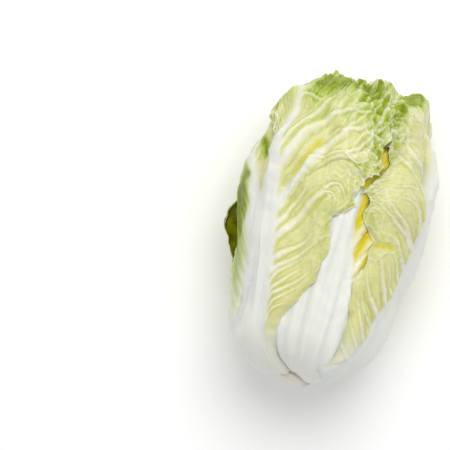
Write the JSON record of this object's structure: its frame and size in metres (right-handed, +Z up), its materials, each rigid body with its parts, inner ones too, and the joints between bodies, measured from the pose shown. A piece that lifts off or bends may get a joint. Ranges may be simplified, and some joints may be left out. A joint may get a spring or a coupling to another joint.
{
  "type": "napa cabbage",
  "caption": "Whole head of napa cabbage lying on its side, with overlapping waved leaves round a packed heart and a cut stem at one end.",
  "frame": {"origin": "on the floor, under the middle of the head's box as it lies on its side", "axes": "+Z up, +Y along the head from the cut stem to the leaf tips, +X to the right when the tips point away"},
  "size_m": [0.1848, 0.2886, 0.1843],
  "materials": {
    "outer_leaf": "fresh cabbage leaf, pale green with white ribs, waxy satin",
    "inner_leaf": "young cabbage leaf, yellow with white ribs, waxy satin",
    "heart_leaf": "packed young leaves, yellow, waxy satin",
    "stem": "cut cabbage stem, cream, moist and slightly fibrous"
  },
  "bodies": {
    "root": {"leaf_01": "outer_leaf", "leaf_02": "outer_leaf", "leaf_03": "outer_leaf", "leaf_04": "outer_leaf", "leaf_05": "outer_leaf", "leaf_06": "outer_leaf", "leaf_07": "inner_leaf", "leaf_08": "inner_leaf", "leaf_09": "inner_leaf", "leaf_10": "inner_leaf", "leaf_11": "inner_leaf", "leaf_12": "inner_leaf", "leaf_13": "inner_leaf", "leaf_14": "inner_leaf", "heart": "heart_leaf", "stem": "stem"}
  },
  "joints": []
}
